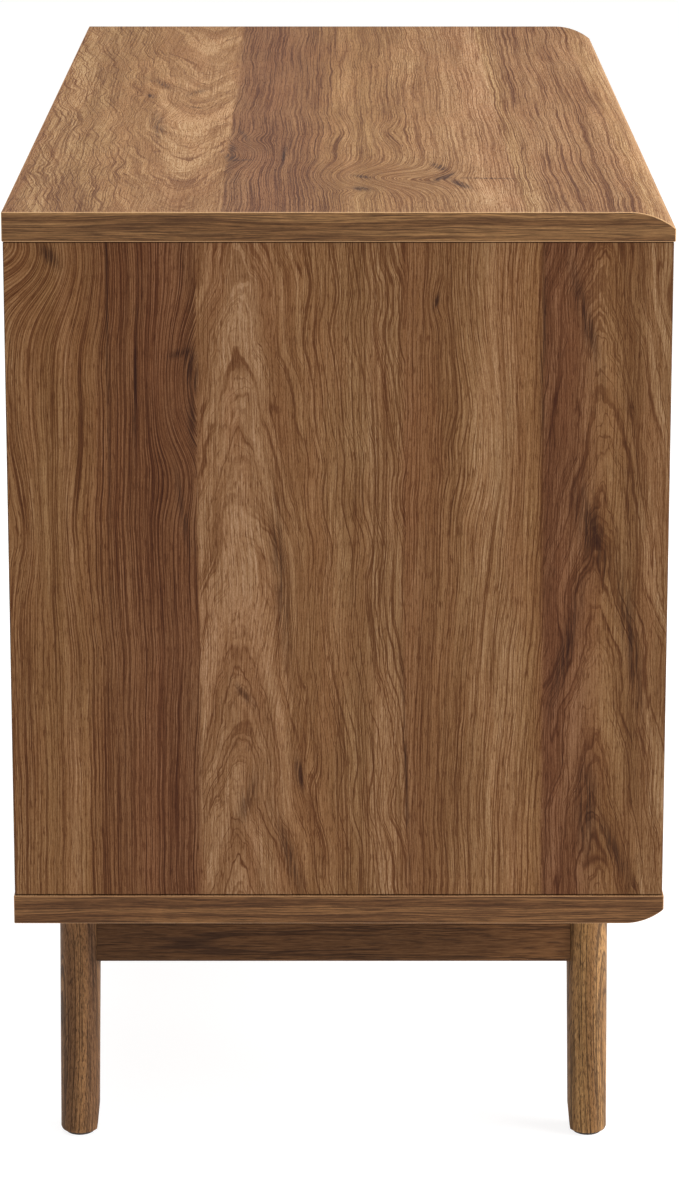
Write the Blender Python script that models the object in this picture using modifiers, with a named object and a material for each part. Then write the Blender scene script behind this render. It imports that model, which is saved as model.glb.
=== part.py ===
"""Sideboard buffet: two drawers over two doors on four splayed round legs.

Metres, +Z up. The origin is on the floor under the middle of the body.
+X is the long direction and the front faces -Y.
"""
import math

import bmesh
import bpy
from mathutils import Matrix, Vector

# Overall size
LENGTH = 0.800
DEPTH = 0.400
HEIGHT = 0.600
BOARD = 0.018
GAP = 0.0003
EDGE = 0.0005

# Carcass levels and setbacks
TOP_UNDER = HEIGHT - BOARD
BOTTOM_UNDER = 0.154
BOTTOM_UPPER = BOTTOM_UNDER + BOARD
END_SETBACK = 0.001
FRONT_SETBACK = 0.001
REAR_SETBACK = 0.0006
DECK_UPPER = 0.470
DECK_UNDER = DECK_UPPER - BOARD
HALF_L = LENGTH / 2
HALF_D = DEPTH / 2
FRONT = -HALF_D + FRONT_SETBACK
REAR = HALF_D - REAR_SETBACK
SIDE_INNER = HALF_L - END_SETBACK - BOARD
MIDDLE = BOARD / 2

# Rounded front edge of the top, and its mirror under the bottom board
TOP_DROP, TOP_RUN = 0.010, 0.028
LOW_DROP, LOW_RUN = 0.009, 0.024
ARC_STEPS = 10

# Back panel
BACK_THICK = 0.003
BACK_FACE = 0.1905
GROOVE_DEEP = 0.004

# Legs and rails
LEG_FOOT_X = 0.3595
LEG_SLOPE = 0.2013
LEG_FRONT_Y = -0.1573
LEG_REAR_Y = 0.1640
LEG_R_FOOT = 0.01225
LEG_R_TOP = 0.01310
GLIDE_THICK = 0.0015
GLIDE_R = 0.0090
RELIEF_START = 0.017
RELIEF_CUT = 0.0017
RAIL_THICK = 0.015
RAIL_LOW = 0.1072
RAIL_END_INSET = 0.004

# Doors and their pivots
REVEAL = 0.002
DOOR_THICK = 0.018
PIVOT_INSET = DOOR_THICK / 2
PIN_R = 0.0025
PIN_IN_DOOR = 0.012
PIN_IN_BOARD = 0.006
PIN_RUNNING = 0.00009
BUSH_R = 0.0040
BUSH_DEEP = 0.008
BUSH_FLANGE_R = 0.0060
BUSH_FLANGE = 0.001
NOTCH_R = 0.018
DOOR_NOTCH_Z = 0.400

# Catches
CATCH_SIZE = (0.034, 0.013, 0.011)
STRIKE_SIZE = (0.024, 0.001, 0.012)
CATCH_FROM_EDGE = 0.030

# Drawers and runners
RUNNER_SPACE = 0.013
BOX_THICK = 0.012
BOX_LONG = 0.300
BOX_LOW = 0.480
BOX_HIGH = 0.566
BOX_BOTTOM = 0.004
BOX_BOTTOM_Z = 0.488
BOX_GROOVE = 0.004
RUNNER_LONG = 0.290
RUNNER_START = -0.178
RUNNER_Z = 0.520
RUNNER_WALL = 0.0012
OUTER_HIGH, OUTER_DEEP = 0.035, 0.0098
INNER_HIGH, INNER_DEEP = 0.029, 0.0102

# Shelves
SHELF_LOW = 0.302
SHELF_FRONT = -0.150
SHELF_REAR = 0.1875
SHELF_SLACK = 0.001
SHELF_PIN_R = 0.0025
SHELF_PIN_IN = 0.008
SHELF_PIN_OUT = 0.009
SHELF_PIN_Y = (-0.110, 0.140)

# Finishes: colour, roughness, metallic
FINISHES = {
    "walnut_print": ((0.225, 0.125, 0.075), 0.45, 0.0),
    "walnut_leg": ((0.215, 0.115, 0.065), 0.42, 0.0),
    "back_print": ((0.240, 0.150, 0.095), 0.60, 0.0),
    "birch_board": ((0.640, 0.520, 0.370), 0.55, 0.0),
    "zinc_steel": ((0.620, 0.630, 0.640), 0.30, 1.0),
    "brown_plastic": ((0.110, 0.065, 0.040), 0.50, 0.0),
    "black_felt": ((0.030, 0.028, 0.026), 0.90, 0.0),
}


def clear_scene():
    for obj in list(bpy.data.objects):
        bpy.data.objects.remove(obj, do_unlink=True)


def new_collection(name):
    group = bpy.data.collections.new(name)
    bpy.context.scene.collection.children.link(group)
    return group


clear_scene()
PARTS = new_collection("sideboard_buffet")
CUTTERS = new_collection("cutters")
CUTTERS.hide_render = True


def make_finish(name, node_name):
    colour, rough, metal = FINISHES[name]
    mat = bpy.data.materials.new(f"{name}.{node_name}")
    mat.use_nodes = True
    shader = mat.node_tree.nodes["Principled BSDF"]
    shader.inputs["Base Color"].default_value = (*colour, 1.0)
    shader.inputs["Roughness"].default_value = rough
    shader.inputs["Metallic"].default_value = metal
    mat.diffuse_color = (*colour, 1.0)
    return mat


def new_object(name, bm, finish, origin=(0.0, 0.0, 0.0), smooth=False):
    """Makes an object from world coordinates with its own origin at the point given."""
    origin = Vector(origin)
    bmesh.ops.translate(bm, verts=bm.verts, vec=-origin)
    bmesh.ops.recalc_face_normals(bm, faces=bm.faces)
    mesh = bpy.data.meshes.new(name)
    bm.to_mesh(mesh)
    bm.free()
    obj = bpy.data.objects.new(name, mesh)
    obj.location = origin
    if finish is None:
        obj.hide_render = True
        obj.display_type = "WIRE"
        CUTTERS.objects.link(obj)
    else:
        mesh.materials.append(make_finish(finish, name))
        PARTS.objects.link(obj)
    if smooth:
        smooth_sides(mesh)
    return obj


def smooth_sides(mesh, limit=math.radians(35)):
    mesh.shade_smooth()
    mesh.set_sharp_from_angle(angle=limit)


def box_mesh(low, high):
    bm = bmesh.new()
    bmesh.ops.create_cube(bm, size=1.0)
    size = [b - a for a, b in zip(low, high)]
    centre = [(a + b) / 2 for a, b in zip(low, high)]
    bmesh.ops.scale(bm, verts=bm.verts, vec=size)
    bmesh.ops.translate(bm, verts=bm.verts, vec=centre)
    return bm


def box(name, low, high, finish, origin=(0.0, 0.0, 0.0), edge=EDGE):
    obj = new_object(name, box_mesh(low, high), finish, origin)
    if finish is not None and edge > 0:
        add_edge(obj, edge)
    return obj


def add_edge(obj, width, segments=1):
    mod = obj.modifiers.new("edge", "BEVEL")
    mod.width = width
    mod.segments = segments
    mod.limit_method = "ANGLE"
    mod.angle_limit = math.radians(50)
    return mod


def cut(obj, cutter, operation="DIFFERENCE"):
    mod = obj.modifiers.new("cut", "BOOLEAN")
    mod.operation = operation
    mod.solver = "EXACT"
    mod.object = cutter
    return mod


def outline_mesh(outline, thickness):
    """A flat outline of (a, b) points, filled and thickened evenly about its own plane."""
    curve = bpy.data.curves.new("outline", "CURVE")
    curve.dimensions = "2D"
    curve.fill_mode = "BOTH"
    curve.extrude = thickness / 2
    spline = curve.splines.new("POLY")
    spline.points.add(len(outline) - 1)
    spline.use_cyclic_u = True
    for point, (a, b) in zip(spline.points, outline):
        point.co = (a, b, 0.0, 1.0)
    guide = bpy.data.objects.new("outline", curve)
    CUTTERS.objects.link(guide)
    graph = bpy.context.evaluated_depsgraph_get()
    mesh = bpy.data.meshes.new_from_object(guide.evaluated_get(graph))
    bm = bmesh.new()
    bm.from_mesh(mesh)
    bpy.data.objects.remove(guide, do_unlink=True)
    bpy.data.meshes.remove(mesh)
    bpy.data.curves.remove(curve)
    bmesh.ops.remove_doubles(bm, verts=bm.verts, dist=1e-6)
    bmesh.ops.dissolve_limit(bm, angle_limit=0.001, verts=bm.verts, edges=bm.edges)
    return bm


def prism(name, outline, axis, start, end, finish, origin=(0.0, 0.0, 0.0), smooth=False):
    """Extrudes a closed outline of (a, b) points along the X, Y or Z axis."""
    bm = outline_mesh(outline, end - start)
    columns = {
        "X": ((0, 1, 0), (0, 0, 1), (1, 0, 0)),
        "Y": ((1, 0, 0), (0, 0, 1), (0, 1, 0)),
        "Z": ((1, 0, 0), (0, 1, 0), (0, 0, 1)),
    }[axis]
    turn = Matrix(columns).transposed().to_4x4()
    shift = Vector(columns[2]) * (start + end) / 2
    bmesh.ops.transform(bm, matrix=Matrix.Translation(shift) @ turn, verts=bm.verts)
    return new_object(name, bm, finish, origin, smooth)


def rod_mesh(radius, centre, axis, start, end, segments=24, radius_end=None):
    """A cylinder or cone along one axis; centre gives the two other coordinates."""
    bm = bmesh.new()
    bmesh.ops.create_cone(
        bm,
        cap_ends=True,
        segments=segments,
        radius1=radius,
        radius2=radius if radius_end is None else radius_end,
        depth=end - start,
    )
    turn = {
        "X": Matrix.Rotation(math.pi / 2, 4, "Y"),
        "Y": Matrix.Rotation(-math.pi / 2, 4, "X"),
        "Z": Matrix.Identity(4),
    }[axis]
    middle = (start + end) / 2
    place = {
        "X": (middle, centre[0], centre[1]),
        "Y": (centre[0], middle, centre[1]),
        "Z": (centre[0], centre[1], middle),
    }[axis]
    bmesh.ops.transform(bm, matrix=Matrix.Translation(place) @ turn, verts=bm.verts)
    return bm


def rod(name, radius, centre, axis, start, end, finish, origin=(0.0, 0.0, 0.0), segments=24):
    bm = rod_mesh(radius, centre, axis, start, end, segments)
    return new_object(name, bm, finish, origin, smooth=finish is not None)


def arc_drop(drop, run, steps):
    """Points (setback, drop) of an arc tangent to the flat face, from its start to the lip."""
    radius = (run * run + drop * drop) / (2 * drop)
    sweep = math.asin(run / radius)
    points = []
    for i in range(steps + 1):
        angle = sweep * i / steps
        points.append((run - radius * math.sin(angle), radius * (1 - math.cos(angle))))
    return points


def build_top():
    outline = [(HALF_D, TOP_UNDER), (HALF_D, HEIGHT)]
    for back, down in arc_drop(TOP_DROP, TOP_RUN, ARC_STEPS):
        outline.append((-HALF_D + back, HEIGHT - down))
    outline.append((-HALF_D, TOP_UNDER))
    top = prism("top", outline, "X", -HALF_L, HALF_L, "walnut_print", smooth=True)
    add_edge(top, EDGE)
    return top


def build_bottom():
    outline = [(HALF_D, BOTTOM_UPPER), (HALF_D, BOTTOM_UNDER)]
    for back, up in arc_drop(LOW_DROP, LOW_RUN, ARC_STEPS):
        outline.append((-HALF_D + back, BOTTOM_UNDER + up))
    outline.append((-HALF_D, BOTTOM_UPPER))
    low = prism("bottom", outline, "X", -HALF_L, HALF_L, "walnut_print", smooth=True)
    add_edge(low, EDGE)
    return low


def build_sides():
    sides = {}
    for label, sign in (("left", -1), ("right", 1)):
        reach = sorted((sign * SIDE_INNER, sign * (HALF_L - END_SETBACK)))
        low = (reach[0], FRONT, BOTTOM_UPPER + GAP)
        high = (reach[1], REAR, TOP_UNDER - GAP)
        sides[label] = box(f"side_{label}", low, high, "walnut_print")
    return sides


def build_carcass():
    top = build_top()
    low = build_bottom()
    sides = build_sides()
    groove = box(
        "cut_back_groove",
        (-SIDE_INNER - GROOVE_DEEP, BACK_FACE - GAP, BOTTOM_UPPER - GROOVE_DEEP),
        (SIDE_INNER + GROOVE_DEEP, BACK_FACE + BACK_THICK + GAP, TOP_UNDER + GROOVE_DEEP),
        None,
    )
    for board in (top, low, *sides.values()):
        cut(board, groove)
    reach = GROOVE_DEEP - GAP
    box(
        "back_panel",
        (-SIDE_INNER - reach, BACK_FACE, BOTTOM_UPPER - reach),
        (SIDE_INNER + reach, BACK_FACE + BACK_THICK, TOP_UNDER + reach),
        "back_print",
        edge=0.0,
    )
    divider = box(
        "divider",
        (-MIDDLE, FRONT, BOTTOM_UPPER + GAP),
        (MIDDLE, BACK_FACE - GAP, TOP_UNDER - GAP),
        "walnut_print",
    )
    decks = {}
    for label, sign in (("left", -1), ("right", 1)):
        reach = sorted((sign * (MIDDLE + GAP), sign * (SIDE_INNER - GAP)))
        decks[label] = box(
            f"deck_{label}",
            (reach[0], FRONT, DECK_UNDER),
            (reach[1], BACK_FACE - GAP, DECK_UPPER),
            "walnut_print",
        )
    return {"top": top, "bottom": low, "sides": sides, "divider": divider, "decks": decks}


def leg_mesh(sign, centre_y, grow=0.0, low=0.0):
    """A round tapered leg leaning outwards along X, cut level at both ends."""
    high = BOTTOM_UNDER - GAP if grow == 0.0 else BOTTOM_UNDER + 0.010
    share = (low - 0.0) / BOTTOM_UNDER
    r_low = LEG_R_FOOT + (LEG_R_TOP - LEG_R_FOOT) * share + grow
    share = high / BOTTOM_UNDER
    r_high = LEG_R_FOOT + (LEG_R_TOP - LEG_R_FOOT) * share + grow
    bm = rod_mesh(r_low, (0.0, centre_y), "Z", low, high, 40, r_high)
    stretch = math.sqrt(1.0 + LEG_SLOPE * LEG_SLOPE)
    lean = Matrix.Identity(4)
    lean[0][0] = stretch
    lean[0][2] = -sign * LEG_SLOPE
    lean[0][3] = sign * LEG_FOOT_X
    bmesh.ops.transform(bm, matrix=lean, verts=bm.verts)
    return bm


def round_foot(bm, low, width):
    rim = [e for e in bm.edges if all(abs(v.co.z - low) < 1e-6 for v in e.verts)]
    bmesh.ops.bevel(bm, geom=rim, offset=width, segments=2, profile=0.5, affect="EDGES")


def relieve_foot(bm, centre_y):
    """Planes a shallow flat on the side of the foot that faces the middle of the body."""
    inward = -1.0 if centre_y > 0 else 1.0
    start = Vector((0.0, centre_y + inward * LEG_R_FOOT, RELIEF_START))
    normal = Vector((0.0, inward * RELIEF_START, -RELIEF_CUT)).normalized()
    geom = list(bm.verts) + list(bm.edges) + list(bm.faces)
    done = bmesh.ops.bisect_plane(
        bm, geom=geom, dist=1e-7, plane_co=start, plane_no=normal, clear_outer=True
    )
    rim = [e for e in done["geom_cut"] if isinstance(e, bmesh.types.BMEdge)]
    bmesh.ops.holes_fill(bm, edges=rim, sides=0)


def build_legs():
    spots = (("front", LEG_FRONT_Y), ("rear", LEG_REAR_Y))
    for label, sign in (("left", -1), ("right", 1)):
        rail = build_rail(label, sign)
        for where, centre_y in spots:
            name = f"leg_{where}_{label}"
            bm = leg_mesh(sign, centre_y, low=GLIDE_THICK + GAP)
            round_foot(bm, GLIDE_THICK + GAP, 0.0015)
            relieve_foot(bm, centre_y)
            new_object(name, bm, "walnut_leg", smooth=True)
            notch = new_object(f"cut_{name}", leg_mesh(sign, centre_y, GAP, 0.080), None)
            cut(rail, notch)
            centre = (sign * LEG_FOOT_X, centre_y)
            rod(f"glide_{where}_{label}", GLIDE_R, centre, "Z", 0.0, GLIDE_THICK, "black_felt")


def build_rail(label, sign):
    low = (-RAIL_THICK / 2, LEG_FRONT_Y + RAIL_END_INSET, RAIL_LOW)
    high = (RAIL_THICK / 2, LEG_REAR_Y - RAIL_END_INSET, BOTTOM_UNDER - GAP)
    bm = box_mesh(low, high)
    lean = Matrix.Identity(4)
    lean[0][0] = math.sqrt(1.0 + LEG_SLOPE * LEG_SLOPE)
    lean[0][2] = -sign * LEG_SLOPE
    lean[0][3] = sign * LEG_FOOT_X
    bmesh.ops.transform(bm, matrix=lean, verts=bm.verts)
    rail = new_object(f"leg_rail_{label}", bm, "walnut_leg")
    add_edge(rail, 0.001)
    return rail


def door_outline(sign):
    """Plan of a door: a half round on the pivot edge, square on the meeting edge."""
    pivot_x = sign * (SIDE_INNER - REVEAL - PIVOT_INSET)
    pivot_y = FRONT + PIVOT_INSET
    meeting = sign * (MIDDLE + REVEAL)
    points = [(meeting, FRONT), (meeting, FRONT + DOOR_THICK)]
    steps = 12
    for i in range(steps + 1):
        angle = math.pi / 2 - math.pi * i / steps
        x = pivot_x + sign * PIVOT_INSET * math.cos(angle)
        y = pivot_y + PIVOT_INSET * math.sin(angle)
        points.append((x, y))
    return points, (pivot_x, pivot_y)


def build_door(label, sign, deck, low_board):
    outline, pivot = door_outline(sign)
    low, high = BOTTOM_UPPER + REVEAL, DECK_UNDER - REVEAL
    origin = (pivot[0], pivot[1], low)
    name = f"door_{label}"
    door = prism(name, outline, "Z", low, high, "walnut_print", origin, smooth=True)
    add_edge(door, EDGE)
    edge_x = sign * (MIDDLE + REVEAL)
    pull = rod(
        f"cut_{name}_pull", NOTCH_R, (edge_x, DOOR_NOTCH_Z), "Y", FRONT - 0.01,
        FRONT + DOOR_THICK + 0.01, None, segments=40,
    )
    cut(door, pull)
    for place, face, up in (("upper", high, 1), ("lower", low, -1)):
        board = deck if up > 0 else low_board
        build_pivot(f"{label}_{place}", pivot, face, up, door, board, origin)
    return door


def build_pivot(label, centre, face, up, door, board, origin):
    """The pin in the edge of the door and the flanged bush it turns in."""
    span = sorted((face - up * (PIN_IN_DOOR + GAP), face + up * 0.001))
    cut(door, rod(f"cut_pin_{label}", PIN_R + GAP, centre, "Z", *span, None))
    span = sorted((face - up * PIN_IN_DOOR, face + up * (REVEAL + PIN_IN_BOARD)))
    rod(f"door_pin_{label}", PIN_R, centre, "Z", *span, "zinc_steel", origin, segments=32)
    seat = face + up * REVEAL
    span = sorted((seat - up * 0.001, seat + up * (BUSH_DEEP + GAP)))
    cut(board, rod(f"cut_bush_{label}", BUSH_R + GAP, centre, "Z", *span, None))
    build_bush(f"pivot_bush_{label}", centre, seat, up)


def build_bush(name, centre, seat, up):
    """A flanged sleeve turned from one outline of (radius, height) points."""
    bore = PIN_R + PIN_RUNNING
    outline = (
        (bore, -GAP - BUSH_FLANGE),
        (BUSH_FLANGE_R, -GAP - BUSH_FLANGE),
        (BUSH_FLANGE_R, -GAP),
        (BUSH_R, -GAP),
        (BUSH_R, BUSH_DEEP),
        (bore, BUSH_DEEP),
    )
    bm = bmesh.new()
    ring = [bm.verts.new((centre[0] + r, centre[1], seat + up * h)) for r, h in outline]
    face = bm.faces.new(ring)
    bmesh.ops.spin(
        bm,
        geom=[face, *face.edges, *face.verts],
        cent=(centre[0], centre[1], seat),
        axis=(0, 0, 1),
        angle=2 * math.pi,
        steps=32,
        use_merge=True,
    )
    inside = [f for f in bm.faces if len(f.verts) == len(outline)]
    bmesh.ops.delete(bm, geom=inside, context="FACES_ONLY")
    bmesh.ops.remove_doubles(bm, verts=bm.verts, dist=1e-6)
    return new_object(name, bm, "brown_plastic", smooth=True)


def build_catch(label, sign, origin):
    wide, deep, tall = CATCH_SIZE
    centre_x = sign * (MIDDLE + REVEAL + CATCH_FROM_EDGE)
    rear = FRONT + DOOR_THICK
    start = rear + GAP + STRIKE_SIZE[1] + GAP
    box(
        f"catch_{label}",
        (centre_x - wide / 2, start, DECK_UNDER - GAP - tall),
        (centre_x + wide / 2, start + deep, DECK_UNDER - GAP),
        "brown_plastic",
    )
    wide, deep, tall = STRIKE_SIZE
    middle = DECK_UNDER - REVEAL - 0.001 - tall / 2
    box(
        f"catch_strike_{label}",
        (centre_x - wide / 2, rear + GAP, middle - tall / 2),
        (centre_x + wide / 2, rear + GAP + deep, middle + tall / 2),
        "zinc_steel",
        origin,
        edge=0.0002,
    )


def build_doors(carcass):
    for label, sign in (("left", -1), ("right", 1)):
        door = build_door(label, sign, carcass["decks"][label], carcass["bottom"])
        build_catch(label, sign, tuple(door.location))


def build_drawer(label, sign):
    outer, inner = sign * (SIDE_INNER - REVEAL), sign * (MIDDLE + REVEAL)
    x0, x1 = sorted((outer, inner))
    origin = ((x0 + x1) / 2, FRONT, (DECK_UPPER + TOP_UNDER) / 2)
    rear = FRONT + DOOR_THICK
    low, high = DECK_UPPER + REVEAL, TOP_UNDER - REVEAL
    name = f"drawer_{label}"
    front = box(f"{name}_front", (x0, FRONT, low), (x1, rear, high), "walnut_print", origin)
    pull = rod(
        f"cut_{name}_pull", NOTCH_R, ((x0 + x1) / 2, high), "Y", FRONT - 0.01,
        rear + 0.01, None, segments=40,
    )
    cut(front, pull)
    build_drawer_box(name, sign, rear + GAP, front, origin)


def build_drawer_box(name, sign, start, front, origin):
    end = start + BOX_LONG
    outer = sign * (SIDE_INNER - RUNNER_SPACE)
    inner = sign * (MIDDLE + RUNNER_SPACE)
    x0, x1 = sorted((outer, inner))
    groove = box(
        f"cut_{name}_groove",
        (x0 + BOX_THICK - BOX_GROOVE, start - BOX_GROOVE, BOX_BOTTOM_Z - GAP),
        (x1 - BOX_THICK + BOX_GROOVE, end + 0.001, BOX_BOTTOM_Z + BOX_BOTTOM + GAP),
        None,
    )
    cut(front, groove)
    for label, a, b in (("left", x0, x0 + BOX_THICK), ("right", x1 - BOX_THICK, x1)):
        side = box(
            f"{name}_side_{label}", (a, start, BOX_LOW), (b, end, BOX_HIGH), "birch_board", origin
        )
        cut(side, groove)
    a, b = x0 + BOX_THICK + GAP, x1 - BOX_THICK - GAP
    over = BOX_BOTTOM_Z + BOX_BOTTOM + GAP
    box(f"{name}_back", (a, end - BOX_THICK, over), (b, end, BOX_HIGH), "birch_board", origin)
    reach = BOX_THICK - BOX_GROOVE + GAP
    box(
        f"{name}_bottom",
        (x0 + reach, start - BOX_GROOVE + GAP, BOX_BOTTOM_Z),
        (x1 - reach, end, BOX_BOTTOM_Z + BOX_BOTTOM),
        "birch_board",
        origin,
        edge=0.0,
    )


def channel(name, wall_x, reach, high, origin):
    """A steel C channel along Y: its web on wall_x, its lips reaching towards reach."""
    side = 1.0 if reach > 0 else -1.0
    far = wall_x + reach
    web = wall_x + side * RUNNER_WALL
    low, top = RUNNER_Z - high / 2, RUNNER_Z + high / 2
    outline = (
        (wall_x, low), (far, low), (far, low + RUNNER_WALL), (web, low + RUNNER_WALL),
        (web, top - RUNNER_WALL), (far, top - RUNNER_WALL), (far, top), (wall_x, top),
    )
    end = RUNNER_START + RUNNER_LONG
    return prism(name, outline, "Y", RUNNER_START, end, "zinc_steel", origin)


def build_runners(label, sign):
    outer, inner = sign * SIDE_INNER, sign * MIDDLE
    x0, x1 = sorted((outer, inner))
    moving = ((x0 + x1) / 2, FRONT, (DECK_UPPER + TOP_UNDER) / 2)
    for where, wall, step in (("left", x0, 1), ("right", x1, -1)):
        channel(
            f"runner_{label}_{where}", wall + step * GAP, step * OUTER_DEEP, OUTER_HIGH,
            (0.0, 0.0, 0.0),
        )
        face = wall + step * (RUNNER_SPACE - GAP)
        channel(f"slide_{label}_{where}", face, -step * INNER_DEEP, INNER_HIGH, moving)


def build_drawers():
    for label, sign in (("left", -1), ("right", 1)):
        build_drawer(label, sign)
        build_runners(label, sign)


def build_shelf(label, sign, side, divider):
    inner, outer = sign * MIDDLE, sign * SIDE_INNER
    x0, x1 = sorted((inner, outer))
    box(
        f"shelf_{label}",
        (x0 + SHELF_SLACK, SHELF_FRONT, SHELF_LOW),
        (x1 - SHELF_SLACK, SHELF_REAR, SHELF_LOW + BOARD),
        "walnut_print",
    )
    centre_z = SHELF_LOW - GAP - SHELF_PIN_R
    for wall, step, where in ((x0, 1, "left"), (x1, -1, "right")):
        board = side if abs(wall) > MIDDLE * 2 else divider
        for along, y in zip(("front", "rear"), SHELF_PIN_Y):
            spot = (y, centre_z)
            name = f"shelf_pin_{label}_{where}_{along}"
            span = sorted((wall - step * (SHELF_PIN_IN + GAP), wall + step * 0.001))
            cut(board, rod(f"cut_{name}", SHELF_PIN_R + GAP, spot, "X", *span, None, segments=16))
            span = sorted((wall - step * SHELF_PIN_IN, wall + step * SHELF_PIN_OUT))
            rod(name, SHELF_PIN_R, spot, "X", *span, "zinc_steel", segments=16)


def build_shelves(carcass):
    for label, sign in (("left", -1), ("right", 1)):
        build_shelf(label, sign, carcass["sides"][label], carcass["divider"])


CARCASS = build_carcass()
build_legs()
build_doors(CARCASS)
build_drawers()
build_shelves(CARCASS)
bpy.context.view_layer.update()
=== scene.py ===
"""Looks of the sideboard buffet: walnut-print boards, round legs, hardware, studio."""
import math
from collections import namedtuple

import bmesh
import bpy
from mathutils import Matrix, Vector


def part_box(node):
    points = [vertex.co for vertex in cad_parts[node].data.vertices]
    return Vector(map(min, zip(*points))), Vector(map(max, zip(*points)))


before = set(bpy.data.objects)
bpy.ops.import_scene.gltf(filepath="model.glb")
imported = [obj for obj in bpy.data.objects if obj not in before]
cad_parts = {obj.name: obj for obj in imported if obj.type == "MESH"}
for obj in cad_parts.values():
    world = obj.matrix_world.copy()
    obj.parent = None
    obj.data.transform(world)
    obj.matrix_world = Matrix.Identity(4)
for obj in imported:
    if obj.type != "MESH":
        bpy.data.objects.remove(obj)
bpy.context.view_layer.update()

MM = 1000.0
X, Y, Z = 0, 1, 2
WHITE = (1.0, 1.0, 1.0, 1.0)
SCENE = bpy.context.scene
TOP_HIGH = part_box("top")[1]
# in mm: from the middle to the right end and to the rear, and the top of the side boards
HALF_LENGTH = TOP_HIGH[X] * MM
REAR = TOP_HIGH[Y] * MM
SIDE_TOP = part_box("side_left")[1][Z] * MM
# Where nearly all of a noise lies, and its middle
NOISE_LOW, NOISE_HIGH, NOISE_MIDDLE = 0.25, 0.75, 0.5


# ---------------------------------------------------------------- node writing
class Value:
    """A node output that adds, multiplies and so on by writing Math nodes."""

    def __init__(self, net, socket):
        self.net = net
        self.socket = socket

    def __add__(self, other):
        return self.net.math("ADD", self, other)

    def __sub__(self, other):
        return self.net.math("SUBTRACT", self, other)

    def __rsub__(self, other):
        return self.net.math("SUBTRACT", other, self)

    def __mul__(self, other):
        return self.net.math("MULTIPLY", self, other)

    def __truediv__(self, other):
        return self.net.math("DIVIDE", self, other)

    def __gt__(self, other):
        return self.net.math("GREATER_THAN", self, other)

    def __lt__(self, other):
        return self.net.math("LESS_THAN", self, other)

    def abs(self):
        return self.net.math("ABSOLUTE", self)

    def sqrt(self):
        return self.net.math("SQRT", self)

    def exp(self):
        return self.net.math("EXPONENT", self)

    def clamp(self):
        return self.net.math("ADD", self, 0.0, clamp=True)

    def pow(self, other):
        return self.net.math("POWER", self, other)


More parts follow.
